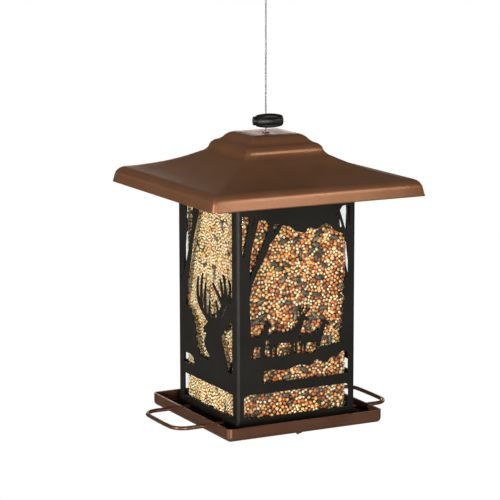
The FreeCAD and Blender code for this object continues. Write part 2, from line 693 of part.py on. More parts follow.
def sub_parts():
    front_left = case_half()
    left_perch = turned(perch(), 180)
    right_perch = perch()
    right_perch.translate(Vector(PERCH_PLAY, 0, 0))
    return {
        "tray": tray(),
        "perch_left": left_perch,
        "perch_right": right_perch,
        "case_front_left": front_left,
        "case_back_right": turned(front_left, 180),
        "hopper_tube": hopper_tube(),
        "seed_diverter": seed_diverter(),
        "seed_mix": seed_mix(),
        "hanging_cable": hanging_cable(),
        "loop_ferrule": loop_ferrule(),
        "anchor_washer": anchor_washer(),
        "cable_stop": cable_stop(),
        "roof_shell": roof_shell(),
        "roof_grommet": roof_grommet(),
        "lock_barrel": lock_barrel(),
        "lock_plunger": lock_plunger(),
        "lock_spring": lock_spring(),
    }


def main():
    os.makedirs("parts", exist_ok=True)
    for name, shape in sub_parts().items():
        shape.translate(Vector(0, 0, -HANG_HEIGHT))
        solid = shape.Solids[0] if len(shape.Solids) == 1 else shape
        print(name, "solids", len(shape.Solids), "valid", shape.isValid(), "volume", round(shape.Volume))
        solid.exportStep("parts/" + name + ".step")


main()
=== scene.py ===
import math

import bpy
import numpy as np
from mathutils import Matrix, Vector, kdtree


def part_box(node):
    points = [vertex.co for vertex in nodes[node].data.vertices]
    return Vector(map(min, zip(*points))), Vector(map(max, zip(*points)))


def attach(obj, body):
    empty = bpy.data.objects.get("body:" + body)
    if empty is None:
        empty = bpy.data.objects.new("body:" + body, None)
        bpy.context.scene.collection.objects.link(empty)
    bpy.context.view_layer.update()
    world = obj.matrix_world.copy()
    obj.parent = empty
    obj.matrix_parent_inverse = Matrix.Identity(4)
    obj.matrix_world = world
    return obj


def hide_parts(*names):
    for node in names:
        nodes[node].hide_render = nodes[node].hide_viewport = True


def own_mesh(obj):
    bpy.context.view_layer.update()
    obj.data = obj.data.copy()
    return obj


# A hanging lantern bird feeder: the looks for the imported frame. Lengths are in metres, in the CAD's
# own frame, unless a comment says otherwise.
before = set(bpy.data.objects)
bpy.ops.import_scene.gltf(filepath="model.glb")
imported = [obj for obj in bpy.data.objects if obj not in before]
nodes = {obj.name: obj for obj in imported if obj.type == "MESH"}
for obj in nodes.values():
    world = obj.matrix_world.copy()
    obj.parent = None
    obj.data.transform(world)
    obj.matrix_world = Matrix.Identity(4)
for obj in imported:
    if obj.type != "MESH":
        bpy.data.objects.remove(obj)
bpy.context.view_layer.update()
MM = 0.001
rng = np.random.default_rng(2611)

TRAY_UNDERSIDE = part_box("tray")[0].z
roof_low, roof_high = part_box("roof_shell")
ROOF_HALF = roof_high.x
ROOF_EDGE = roof_low.z
ROOF_TOP = roof_high.z


def stand(name, data):
    """An object of its own for a mesh, light or camera."""
    thing = bpy.data.objects.new(name, data)
    bpy.context.scene.collection.objects.link(thing)
    return thing


# ---------------------------------------------------------------- camera

AZIMUTH = math.radians(-27.75)
ELEVATION = math.radians(10.381)
DISTANCE = 2.2185
AIM_HEIGHT = 0.1654
LENS = 162.27
SENSOR_WIDTH = 36
SHIFT_X = -0.0316
FARTHEST_SEEN = 60


def place_camera():
    """The photograph's view: AIM_HEIGHT above the tray's underside, seen from DISTANCE away."""
    data = bpy.data.cameras.new("camera")
    data.lens = LENS
    data.sensor_width = SENSOR_WIDTH
    data.shift_x = SHIFT_X
    data.clip_end = FARTHEST_SEEN
    camera = stand("camera", data)
    level = math.cos(ELEVATION)
    back = Vector((math.sin(AZIMUTH) * level, -math.cos(AZIMUTH) * level, math.sin(ELEVATION)))
    camera.location = Vector((0, 0, TRAY_UNDERSIDE + AIM_HEIGHT)) + back * DISTANCE
    camera.rotation_mode = "QUATERNION"
    camera.rotation_quaternion = (-back).to_track_quat("-Z", "Y")
    bpy.context.scene.camera = camera


place_camera()


# ---------------------------------------------------------------- mesh and node helpers

def piece(name, points, faces, material, body, smooth=True):
    """A mesh object made from point and face arrays, riding on a body."""
    mesh = bpy.data.meshes.new(name)
    face_list = faces if isinstance(faces, list) else faces.tolist()
    mesh.from_pydata(np.asarray(points).tolist(), [], face_list)
    mesh.polygons.foreach_set("use_smooth", [smooth] * len(mesh.polygons))
    mesh.materials.append(material)
    thing = stand(name, mesh)
    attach(thing, body)
    return thing


def ring_faces(rows, sides):
    """The four-sided faces between rings of points that follow one another."""
    faces = []
    for row in range(rows - 1):
        for side in range(sides):
            a, b = row * sides + side, row * sides + (side + 1) % sides
            faces.append((a, b, b + sides, a + sides))
    return faces


def end_faces(rows, sides):
    """One face over the first ring and one over the last."""
    last = (rows - 1) * sides
    return [tuple(range(sides))[::-1], tuple(last + side for side in range(sides))]


class Graph:
    """A node tree, with short calls for the nodes in it. A constant is set on its socket."""

    def __init__(self, tree):
        self.tree = tree

    def put(self, value, socket):
        if isinstance(value, bpy.types.NodeSocket):
            self.tree.links.new(value, socket)
        else:
            socket.default_value = value

    def node(self, kind, inputs=(), **settings):
        made = self.tree.nodes.new(kind)
        for key, value in settings.items():
            setattr(made, key, value)
        for key, value in dict(inputs).items():
            self.put(value, made.inputs[key])
        return made

    def calc(self, operation, first, second):
        inputs = {0: first, 1: second}
        return self.node("ShaderNodeMath", inputs, operation=operation).outputs[0]

    def range(self, value, low, high, to_low=0.0, to_high=1.0, curve="LINEAR"):
        inputs = {0: value, 1: low, 2: high, 3: to_low, 4: to_high}
        return self.node("ShaderNodeMapRange", inputs, interpolation_type=curve).outputs[0]

    def mix(self, factor, first, second, blend="MIX"):
        inputs = {0: factor, 6: first, 7: second}
        made = self.node("ShaderNodeMix", inputs, data_type="RGBA", blend_type=blend)
        return made.outputs[2]

    def mix_shaders(self, factor, first, second):
        inputs = {0: factor, 1: first.outputs[0], 2: second.outputs[0]}
        return self.node("ShaderNodeMixShader", inputs)


class Shading(Graph):
    """A material with its Principled shader, and patterns that sit still on the object. A pattern's
    scale is how many times it repeats in a metre."""

    def __init__(self, name, **values):
        self.material = bpy.data.materials.new(name)
        self.material.use_nodes = True
        super().__init__(self.material.node_tree)
        self.shader = self.tree.nodes["Principled BSDF"]
        for socket, value in values.items():
            self.shader.inputs[socket.replace("_", " ")].default_value = value
        self.position = self.node("ShaderNodeTexCoord").outputs["Object"]

    def noise(self, scale, detail=2.0, vector=None):
        inputs = {"Vector": vector or self.position, "Scale": scale, "Detail": detail}
        return self.node("ShaderNodeTexNoise", inputs).outputs["Fac"]

    def cells(self, scale, output="Distance"):
        inputs = {"Vector": self.position, "Scale": scale}
        return self.node("ShaderNodeTexVoronoi", inputs).outputs[output]

    def one_of(self, colour):
        """A colour's red channel, as a plain number."""
        return self.node("ShaderNodeSeparateColor", {"Color": colour}).outputs[0]

    def carried(self, label):
        """A number that each point of the mesh carries."""
        return self.node("ShaderNodeAttribute", attribute_name=label).outputs["Fac"]

    def ramp(self, factor, stops):
        made = self.node("ShaderNodeValToRGB", {"Fac": factor})
        spots = made.color_ramp.elements
        while len(spots) < len(stops):
            spots.new(0.5)
        for spot, (place, colour) in zip(spots, stops):
            spot.position = place
            spot.color = (*colour, 1)
        return made.outputs["Color"]

    def feed(self, socket, output):
        self.tree.links.new(output, self.shader.inputs[socket])

    def bump(self, height, strength, distance, under=None):
        inputs = {"Height": height, "Strength": strength, "Distance": distance}
        if under:
            inputs["Normal"] = under
        normal = self.node("ShaderNodeBump", inputs).outputs["Normal"]
        self.feed("Normal", normal)
        return normal

    def surface(self, shader):
        """Show another shader in place of the Principled one."""
        output = self.tree.nodes["Material Output"]
        self.tree.links.new(shader.outputs[0], output.inputs["Surface"])


def grey(level):
    return (level, level, level)


# ---------------------------------------------------------------- materials

def metallic_coat(name, deep, light, roughness):
    """Copper-brown powder coat: fine metal flake in a lacquer with a slight orange peel."""
    coat = Shading(name, Metallic=0.70, Coat_Weight=0.25, Coat_Roughness=0.28, IOR=1.45,
                   Specular_Tint=(0.78, 0.56, 0.42, 1))
    flake = coat.one_of(coat.cells(scale=2600, output="Color"))
    cloud = coat.noise(scale=38, detail=4)
    tone = coat.ramp(cloud, [(0.3, deep), (0.75, light)])
    spark = coat.range(flake, 0.0, 1.0, 0.86, 1.14)
    spark = coat.node("ShaderNodeCombineColor", {0: spark, 1: spark, 2: spark}).outputs[0]
    coat.feed("Base Color", coat.mix(1.0, tone, spark, "MULTIPLY"))
    coat.feed("Roughness", coat.range(cloud, 0.3, 0.7, roughness - 0.03, roughness + 0.04))
    peel = coat.bump(coat.noise(scale=420, detail=2), strength=0.10, distance=0.0003)
    coat.bump(flake, strength=0.05, distance=0.00006, under=peel)
    return coat.material


def black_coat():
    """Satin black powder coat with a fine grain."""
    coat = Shading("black_powder_coat", IOR=1.28)
    deep, light = (0.0050, 0.0052, 0.0044), (0.0100, 0.0098, 0.0080)
    cloud = coat.noise(scale=30, detail=5)
    coat.feed("Base Color", coat.ramp(cloud, [(0.3, deep), (0.8, light)]))
    coat.feed("Roughness", coat.range(coat.noise(scale=900, detail=3), 0.3, 0.7, 0.38, 0.54))
    coat.bump(coat.noise(scale=1500, detail=3), strength=0.22, distance=0.00022)
    return coat.material


def clear_plastic():
    """Clear moulded sheet with a little dust. It mirrors more at a glancing angle."""
    clear = Shading("clear_moulded_plastic")
    clear.tree.nodes.remove(clear.shader)
    haze = clear.range(clear.noise(scale=24, detail=4), 0.35, 0.75, 0.04, 0.10)
    mirror = clear.node("ShaderNodeBsdfAnisotropic", {"Color": (1, 1, 1, 1), "Roughness": haze})
    glass = clear.node("ShaderNodeBsdfTransparent", {"Color": (0.985, 0.99, 0.985, 1)})
    dust = clear.node("ShaderNodeBsdfDiffuse", {"Color": (0.80, 0.76, 0.72, 1)})
    dusty = clear.range(clear.noise(scale=60, detail=5), 0.35, 0.75, 0.002, 0.014)
    fresnel = clear.node("ShaderNodeFresnel", {"IOR": 1.49}).outputs[0]
    # Only the outer skin mirrors. Leaving the sheet, light isn't turned back a second time.
    inside = clear.node("ShaderNodeNewGeometry").outputs["Backfacing"]
    shine = clear.calc("MULTIPLY", fresnel, clear.calc("SUBTRACT", 1.0, inside))
    clear.surface(clear.mix_shaders(shine, clear.mix_shaders(dusty, glass, dust), mirror))
    return clear.material


def moulded_black(name, roughness):
    """Black moulded plastic with a fine grain."""
    plastic = Shading(name, IOR=1.33)
    cloud = plastic.noise(scale=120, detail=4)
    plastic.feed("Base Color", plastic.ramp(cloud, [(0.3, grey(0.003)), (0.75, grey(0.007))]))
    plastic.feed("Roughness", plastic.range(cloud, 0.3, 0.7, roughness - 0.07, roughness + 0.10))
    plastic.bump(plastic.noise(scale=2400, detail=2), strength=0.18, distance=0.00012)
    return plastic.material


def bare_metal(name, dark, light, roughness, grain=(900, 900, 90)):
    """Plain metal with a drawn grain; grain is how fine it is along X, Y and Z."""
    metal = Shading(name, Metallic=1.0)
    stretched = metal.node("ShaderNodeMapping", {"Vector": metal.position, "Scale": grain})
    lines = metal.noise(scale=1.0, detail=4, vector=stretched.outputs[0])
    metal.feed("Base Color", metal.ramp(lines, [(0.25, grey(dark)), (0.8, grey(light))]))
    metal.feed("Roughness", metal.range(lines, 0.3, 0.7, roughness - 0.06, roughness + 0.10))
    metal.bump(lines, strength=0.12, distance=0.00008)
    return metal.material


def husk(name, tints, roughness, mottle=900, stripes=None):
    """One kind of grain. Each grain carries a 'tint' that picks its colour, a 'band' for its stripes
    and a number for painted shade, low on the side turned into the heap, that darkens its colour
    there."""
    skin = Shading(name, IOR=1.5)
    colour = skin.ramp(skin.carried("tint"), tints)
    spots = skin.noise(scale=mottle, detail=3)
    spotted = skin.range(spots, 0.42, 0.72, 0.0, 0.35)
    colour = skin.mix(spotted, colour, (0.30, 0.15, 0.05, 1), "MULTIPLY")
    if stripes:
        striped = skin.range(skin.carried("band"), 0.6, 0.95, 0.0, 0.5)
        colour = skin.mix(striped, colour, (*stripes, 1))
    # Painted shade: the colour darkens towards near-black brown on the side of each grain turned into
    # the heap.
    skin.feed("Base Color", skin.mix(skin.carried("painted_shade"), (0.012, 0.007, 0.004, 1), colour))
    skin.feed("Roughness", skin.range(spots, 0.3, 0.7, roughness - 0.06, roughness + 0.10))
    skin.bump(skin.noise(scale=mottle * 2.2, detail=2), strength=0.25, distance=0.0001)
    return skin.material


roof_coat = metallic_coat("copper_brown_coat", deep=(0.225, 0.100, 0.047),
                          light=(0.265, 0.122, 0.062), roughness=0.36)
tray_coat = metallic_coat("dark_copper_coat", deep=(0.105, 0.048, 0.028),
                          light=(0.132, 0.062, 0.038), roughness=0.36)
case_coat = black_coat()
hopper_plastic = clear_plastic()
lock_plastic = moulded_black("lock_plastic", roughness=0.38)
diverter_plastic = moulded_black("diverter_plastic", roughness=0.5)
cable_steel = bare_metal("cable_steel", dark=0.15, light=0.36, roughness=0.36)
crimp_aluminium = bare_metal("crimp_aluminium", dark=0.60, light=0.78, roughness=0.38)
zinc_plate = bare_metal("zinc_plate", dark=0.50, light=0.66, roughness=0.42,
                        grain=(300, 300, 300))
spring_steel = bare_metal("spring_steel", dark=0.42, light=0.60, roughness=0.30,
                          grain=(300, 900, 900))

# The CAD's nodes that are seen as they are.
FINISHES = {
    "tray": tray_coat, "perch_left": tray_coat, "perch_right": tray_coat,
    "case_front_left": case_coat, "case_back_right": case_coat,
    "hopper_tube": hopper_plastic, "seed_diverter": diverter_plastic,
    "loop_ferrule": crimp_aluminium, "anchor_washer": zinc_plate, "cable_stop": crimp_aluminium,
    "roof_grommet": tray_coat,
    "lock_barrel": lock_plastic, "lock_plunger": lock_plastic,
}
for node_name, finish in FINISHES.items():
    nodes[node_name].data.materials.clear()
    nodes[node_name].data.materials.append(finish)


# ---------------------------------------------------------------- the hanging cable

CABLE_DIAMETER = 1.6 * MM
ORIGIN_HEIGHT = 0.460  # the frame's origin above the tray's underside
# The route's points, as in the CAD: along X, and up from the tray's underside.
CABLE_POINTS = [
    (0.0, -0.0065),
    (0.0, 0.4138),
    (0.0, 0.4330),
    (-0.0120, 0.4480),
    (-0.0080, 0.4608),
    (0.0080, 0.4608),
    (0.0125, 0.4470),
    (0.0020, 0.4315),
    (0.0020, 0.4150),
]
STRANDS = 6
STRAND_PITCH = 11 * MM
STRAND_SIDES = 6
STEPS_PER_TURN = 10
SPLINE_STEPS = 24


def cable_route():
    """The cable's smooth centreline, as points read from its NURBS spline."""
    data = bpy.data.curves.new("cable_route", "CURVE")
    data.dimensions = "3D"
    spline = data.splines.new("NURBS")
    spline.points.add(len(CABLE_POINTS) - 1)
    for point, (x, z) in zip(spline.points, CABLE_POINTS):
        point.co = (x, 0, z - ORIGIN_HEIGHT, 1)
    spline.order_u = 3
    spline.use_endpoint_u = True
    spline.resolution_u = SPLINE_STEPS
    curve = bpy.data.objects.new("cable_route", data)
    line = bpy.data.meshes.new_from_object(curve)
    route = [vertex.co.copy() for vertex in line.vertices]
    bpy.data.objects.remove(curve)
    bpy.data.curves.remove(data)
    bpy.data.meshes.remove(line)
    return route


def evenly(route, step):
    """The same line with points about a step apart, and how far along it each one is."""
    points = np.array([list(point) for point in route])
    gaps = np.linalg.norm(np.diff(points, axis=0), axis=1)
    along = np.concatenate([[0], np.cumsum(gaps)])
    wanted = np.linspace(0, along[-1], int(along[-1] / step) + 1)
    placed = [np.interp(wanted, along, points[:, axis]) for axis in range(3)]
    return np.stack(placed, axis=1), wanted


def tube_round(centres, sideways, up, radius, sides):
    """Points and faces of a closed tube whose rings lie in the given directions."""
    angles = np.arange(sides) * 2 * math.pi / sides
    cos, sin = np.cos(angles)[None, :, None], np.sin(angles)[None, :, None]
    ring = cos * sideways[:, None, :] + sin * up[:, None, :]
    points = (centres[:, None, :] + radius * ring).reshape(-1, 3)
    return points, ring_faces(len(centres), sides) + end_faces(len(centres), sides)


def hanging_cable():
    """Six strands laid round a core, along the cable's route."""
    route = cable_route()
    centres, along = evenly(route, STRAND_PITCH / STEPS_PER_TURN)
    tangent = np.gradient(centres, axis=0)
    tangent /= np.linalg.norm(tangent, axis=1)[:, None]
    out = np.broadcast_to([0.0, 1.0, 0.0], tangent.shape)
    across = np.cross(out, tangent)
    strand_radius = CABLE_DIAMETER / 6  # three strands lie side by side across it
    lay_radius = CABLE_DIAMETER / 2 - strand_radius
    points, all_faces = tube_round(centres, across, out, strand_radius, STRAND_SIDES)
    all_points = [points]
    count = len(points)
    for strand in range(STRANDS):
        angle = 2 * math.pi * (along / STRAND_PITCH + strand / STRANDS)
        side = np.cos(angle)[:, None] * across + np.sin(angle)[:, None] * out
        points, faces = tube_round(centres + lay_radius * side, across, out, strand_radius,
                                   STRAND_SIDES)
        all_points.append(points)
        all_faces += [tuple(index + count for index in face) for face in faces]
        count += len(points)
    cable = piece("cable_strands", np.concatenate(all_points), all_faces, cable_steel, "feeder")
    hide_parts("hanging_cable")


hanging_cable()


# ---------------------------------------------------------------- the lock's spring

# LOCK_TURN is the angle of the button's axis to X. LOW and HIGH lie along that axis: the coil's two
# ends.
LOCK_TURN = math.radians(-15)
SPRING_LOW = 3.9 * MM
SPRING_HIGH = 13.6 * MM
SPRING_COILS = 5
SPRING_RADIUS = 2.3 * MM
SPRING_WIRE = 0.6 * MM
SPRING_STEPS = 160
SPRING_SIDES = 8


def lock_spring():
    """The coil behind the button."""
    low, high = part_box("lock_barrel")
    height = (low.z + high.z) / 2
    share = np.linspace(0, 1, SPRING_STEPS)
    angle = 2 * math.pi * SPRING_COILS * share
    along = SPRING_LOW + (SPRING_HIGH - SPRING_LOW) * share
    radial = np.stack([np.zeros_like(share), np.sin(angle), -np.cos(angle)], axis=1)
    centres = SPRING_RADIUS * radial
    centres[:, 0] = along
    tangent = np.gradient(centres, axis=0)
    tangent /= np.linalg.norm(tangent, axis=1)[:, None]
    points, faces = tube_round(centres, radial, np.cross(tangent, radial), SPRING_WIRE / 2,
                               SPRING_SIDES)
    axis = np.array([math.cos(LOCK_TURN), math.sin(LOCK_TURN), 0.0])
    side = np.array([-math.sin(LOCK_TURN), math.cos(LOCK_TURN), 0.0])
    placed = points[:, :1] * axis + points[:, 1:2] * side + points[:, 2:] * [0, 0, 1]
    placed = placed + [0, 0, height]
    coil = piece("spring_coil", placed, faces, spring_steel, "lock")
    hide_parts("lock_spring")
    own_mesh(coil)


lock_spring()


# ---------------------------------------------------------------- the pressed roof

SHEET = 0.9 * MM
# The roof's side view as bends through three points, in mm: distance from the axis and drop from
# the top.
ROOF_BENDS = [
    [(24.5, 0.0), (29.2, 2.2), (31.8, 4.9)],
    [(31.8, 4.9), (34.9, 7.4), (38.2, 8.7)],
    [(38.2, 8.7), (41.2, 11.6), (42.6, 14.8)],
    [(42.6, 14.8), (44.4, 17.8), (48.0, 20.3)],
    [(48.0, 20.3), (66.5, 29.0), (88.0, 35.8)],
    [(88.0, 35.8), (96.0, 37.8), (104.5, 39.3)],
    [(104.5, 39.3), (110.3, 42.1), (112.9, 47.0)],
]
BEND_STEPS = 7
ROOF_HOLE = 2.6 * MM
TOP_ROWS = (8 * MM, 16 * MM)
# Rows down the upright lip, as shares of its height. Those near its ends keep its shading flat.
LIP_ROWS = (0, 0.12, 0.4, 0.7, 0.92, 1)
# The lip's lower edge is rounded over this height and this depth.
LIP_FOOT = 0.5 * MM
LIP_ROUNDING = 0.3 * MM
ROOF_HEM = 4 * MM
HEM_INSIDE = 1.2 * SHEET
# The hips' radius at the middle, and how much it grows with the distance from the axis.
HIP_RADIUS = 3.4 * MM
HIP_GROWTH = 0.012
HIP_STEPS = 7
SIDE_STEPS = 10


def arc_through(first, middle, last, steps):
    """Points on the circle through three points, without the last one."""
    (ax, ay), (bx, by), (cx, cy) = first, middle, last
    divisor = 2 * (ax * (by - cy) + bx * (cy - ay) + cx * (ay - by))
    squares = [x * x + y * y for x, y in (first, middle, last)]
    x = (squares[0] * (by - cy) + squares[1] * (cy - ay) + squares[2] * (ay - by)) / divisor
    y = (squares[0] * (cx - bx) + squares[1] * (ax - cx) + squares[2] * (bx - ax)) / divisor
    radius = math.hypot(ax - x, ay - y)
    start = math.atan2(ay - y, ax - x)
    sweep = (math.atan2(cy - y, cx - x) - start + math.pi) % (2 * math.pi) - math.pi
    turns = [start + sweep * i / steps for i in range(steps)]
    return [(x + radius * math.cos(turn), y + radius * math.sin(turn)) for turn in turns]


def roof_profile():
    """(half width, height) down the outer face from the cable hole to the lower edge."""
    line = [(r, ROOF_TOP) for r in (ROOF_HOLE, *TOP_ROWS)]
    for bend in ROOF_BENDS:
        line += [(r * MM, ROOF_TOP - drop * MM) for r, drop in arc_through(*bend, BEND_STEPS)]
    r, drop = (value * MM for value in ROOF_BENDS[-1][-1])
    rim, foot = ROOF_TOP - drop, ROOF_EDGE + LIP_FOOT
    line += [(r + (ROOF_HALF - r) * share, rim + (foot - rim) * share) for share in LIP_ROWS]
    line.append((ROOF_HALF - LIP_ROUNDING, ROOF_EDGE))
    return line


def hip_radius(half):
    """How round the corners are at a given distance from the axis."""
    return min(half, HIP_RADIUS + HIP_GROWTH * half)


def square_ring(half, height, corner):
    """A rounded square in plan, with evenly spaced points along its sides and corners."""
    ring = []
    flat = half - corner
    for quarter in range(4):
        turn = quarter * math.pi / 2
        plan = [(half, -flat + 2 * flat * i / SIDE_STEPS) for i in range(SIDE_STEPS)]
        plan += [(flat + corner * math.cos(a), flat + corner * math.sin(a))
                 for a in (math.pi / 2 * i / HIP_STEPS for i in range(HIP_STEPS))]
        cos, sin = math.cos(turn), math.sin(turn)
        ring += [(x * cos - y * sin, x * sin + y * cos, height) for x, y in plan]
    return ring


def pressed_roof():
    """One closed sheet: down the outer face, round the hem and back up the inner face."""
    outer = roof_profile()
    hem = [(ROOF_HALF - ROOF_HEM, ROOF_EDGE), (ROOF_HALF - ROOF_HEM, ROOF_EDGE + SHEET),
           (ROOF_HALF - HEM_INSIDE, ROOF_EDGE + SHEET)]
    inner = []
    for index in range(len(outer) - 3, 0, -1):
        (r0, z0), (r1, z1) = outer[index - 1], outer[index + 1]
        length = math.hypot(r1 - r0, z1 - z0)
        r, z = outer[index]
        inner.append((r + SHEET * (z1 - z0) / length, z - SHEET * (r1 - r0) / length))
    inner.append((ROOF_HOLE, ROOF_TOP - SHEET))
    profile = outer + hem + inner
    rings = [square_ring(r, z, hip_radius(r)) for r, z in profile]
    count = len(rings[0])
    points = [point for ring in rings for point in ring]
    faces = []
    for row in range(len(rings)):
        below = (row + 1) % len(rings)
        for side in range(count):
            ahead = (side + 1) % count
            faces.append((row * count + side, below * count + side,
                          below * count + ahead, row * count + ahead))
    roof = piece("roof_pressing", points, faces, roof_coat, "roof")
    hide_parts("roof_shell")


pressed_roof()


# ---------------------------------------------------------------- the seed

seed_low, seed_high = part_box("seed_mix")
PANE_INSIDE = seed_high.x + 0.3 * MM
PANE_CORNER = 4.5 * MM
WALL_FLAT = PANE_INSIDE - PANE_CORNER
WALL_WIDTH = 2 * WALL_FLAT + PANE_CORNER * math.pi / 2
SEED_FLOOR = seed_low.z + 0.4 * MM
# The heap's height at the axis, and its slope along X and along Y.
SEED_MIDDLE = TRAY_UNDERSIDE + 208.0 * MM
SEED_SLOPE = (-0.181, 0.129)
# A wall is filled up to WALL_SPARE over SEED_MIDDLE, then cut off WALL_BRIM below the heap's top.
WALL_SPARE = 18 * MM
WALL_BRIM = 1.0 * MM
# The top layer is laid TOP_SPARE wider than the hopper, then cut off TOP_INSET inside its panes. It
# lies TOP_RISE over the slope and swells by TOP_SWELL, in waves along X and Y.
TOP_SPARE = 6 * MM
TOP_INSET = 1.6 * MM
TOP_RISE = 1.2 * MM
TOP_SWELL = 0.6 * MM
TOP_WAVES = (130, 170)
# The feed ports: half width, lower and upper edge. Seed bulges out by PORT_SPILL at the bottom,
# from PORT_SILL above the lower edge.
PORT_HALF = 25.5 * MM
PORT_LOW = TRAY_UNDERSIDE + 12 * MM
PORT_HIGH = TRAY_UNDERSIDE + 30 * MM
PORT_SILL = 1.5 * MM
PORT_SPILL = 3.4 * MM

# Each kind's outline is (place along, radius) stations; its size is half length, half width and
# half thickness in mm. "uneven" is how lumpy each grain is and "spread" how much sizes differ.
ROUND = [(-1.0, 0.0), (-0.62, 0.76), (0.05, 1.0), (0.66, 0.72), (1.0, 0.0)]
DROP = [(-1.0, 0.0), (-0.86, 0.46), (-0.45, 0.92), (0.1, 0.95), (0.62, 0.55), (1.0, 0.0)]
KINDS = {
    "sunflower": {"size": (5.4, 2.1, 1.5), "outline": DROP, "sides": 9, "uneven": 0.14,
                  "spread": 0.20},
    "milo": {"size": (2.25, 2.05, 1.7), "outline": ROUND, "sides": 7, "uneven": 0.06,
             "spread": 0.08},
    "corn": {"size": (2.5, 1.95, 1.5), "outline": ROUND, "sides": 6, "uneven": 0.24,
             "spread": 0.08},
    "millet": {"size": (1.75, 1.6, 1.35), "outline": ROUND, "sides": 6, "uneven": 0.05,
               "spread": 0.08},
}
LONG_KIND = "sunflower"  # comes first in KINDS
# Each kind's share of a wall's area. The left wall's heap is mostly pale millet.
COMMON_MIX = {"sunflower": 0.13, "milo": 0.51, "corn": 0.13, "millet": 0.23}
PALE_MIX = {"sunflower": 0.015, "milo": 0.05, "corn": 0.24, "millet": 0.695}
COVER = 0.90  # how much of a panel one layer's grains cover

# Grains are pushed apart as discs. A long seed counts as three smaller ones in a row, the outer
# two set off by END_DISC_PLACE of its half length, and a push moves it less.
CROWD_ROUNDS = 5
CROWD_PUSHES = 8
PUSH_SHARE = 0.42
LONG_PUSH = 0.15
LONG_DISC_RADIUS = 0.72
END_DISC_PLACE = 0.55
NEIGHBOURS_WITHIN = 2.0 * MM
FARTHEST_PUSH = 0.8 * MM
PANEL_MARGIN = 0.9 * MM
# A third of the long seeds lie in loose drifts, whose middles are in this part of the panel.
DRIFTS = 5
DRIFT_SPREAD = 15 * MM
DRIFT_REGION = ([0.1, 0.1], [0.9, 0.95])

# How grains lie. A long seed leans LEAN from level, in radians, and tips out of the panel a little.
# The others point anywhere, but mostly along the panel. All of them roll a little.
LEAN_MEAN, LEAN_SPREAD = 0.25, 0.6
LONG_TIP = 0.22
FLATTENING = 0.75
ROLL = 0.3
SIZE_LIMITS = (0.5, 1.2)
LAYERS = 2
LAYER_GAP = 2.0 * MM
# A grain's middle lies this much of its half thickness behind the pane, and up to PLAY further in.
GRAIN_DEPTH = 0.96
DEPTH_PLAY_MM = 0.5
# A grain's painted shade, darker on its side turned into the heap: at its middle, how much it gains
# towards the pane, and its least. The full gain is reached a little outside the grain. The second
# layer's grains get more painted shade, as if less light reached them.
PAINTED_SHADE_MIDDLE, PAINTED_SHADE_RISE, PAINTED_SHADE_LEAST = 0.30, 0.84, 0.02
PAINTED_SHADE_REACH = 1.05
SECOND_LAYER_PAINTED_LIGHT = 0.22

# The solid behind the grains: how far it keeps from the panes, the floor and the heap's top, and
# the lumps of its skin, in waves along X and Z, then Y and Z.
HEART_INSET = 4.6 * MM
HEART_LIFT = 1 * MM
HEART_BELOW_TOP = 4.5 * MM
HEART_LUMP = 0.5 * MM
HEART_WAVES = (900, 610, 830, 700)
HEART_GRAINS = 420
HEART_STEPS = 28
HEART_ROWS = 44

HUSKS = {
    "sunflower": husk("sunflower_husk", [
        (0.0, (0.034, 0.033, 0.022)), (0.5, (0.075, 0.072, 0.050)), (1.0, (0.16, 0.15, 0.10)),
    ], roughness=0.45, mottle=500, stripes=(0.22, 0.20, 0.15)),
    "milo": husk("milo_husk", [
        (0.0, (0.28, 0.055, 0.018)), (0.35, (0.56, 0.155, 0.038)), (0.7, (0.80, 0.32, 0.09)),
        (1.0, (0.90, 0.54, 0.23)),
    ], roughness=0.28),
    "corn": husk("corn_grit", [
        (0.0, (0.80, 0.40, 0.09)), (0.5, (0.90, 0.60, 0.22)), (1.0, (0.96, 0.80, 0.46)),
    ], roughness=0.40, mottle=700),
    "millet": husk("millet_husk", [
        (0.0, (0.80, 0.48, 0.18)), (0.35, (0.92, 0.72, 0.40)), (1.0, (0.97, 0.88, 0.62)),
    ], roughness=0.26, mottle=1300),
}


def grain_template(outline, sides):
    """A closed turned shape about X with its poles as single points. Every second line of points
    along it is marked, for stripes."""
    points = [(outline[0][0], 0.0, 0.0)]
    band = [0.0]
    for place, radius in outline[1:-1]:
        for side in range(sides):
            angle = 2 * math.pi * side / sides
            points.append((place, radius * math.cos(angle), radius * math.sin(angle)))
            band.append(float(side % 2))
    points.append((outline[-1][0], 0.0, 0.0))
    band.append(0.0)
    rows = len(outline) - 2
    faces = []
    for side in range(sides):
        ahead = (side + 1) % sides
        faces.append((0, 1 + ahead, 1 + side))
        for row in range(rows - 1):
            a, b = 1 + row * sides + side, 1 + row * sides + ahead
            faces += [(a, b, b + sides), (a, b + sides, a + sides)]
        last = 1 + (rows - 1) * sides
        faces.append((last + side, last + ahead, len(points) - 1))
    return np.array(points), np.array(faces), np.array(band)


def unit(rows):
    return rows / np.linalg.norm(rows, axis=1)[:, None]


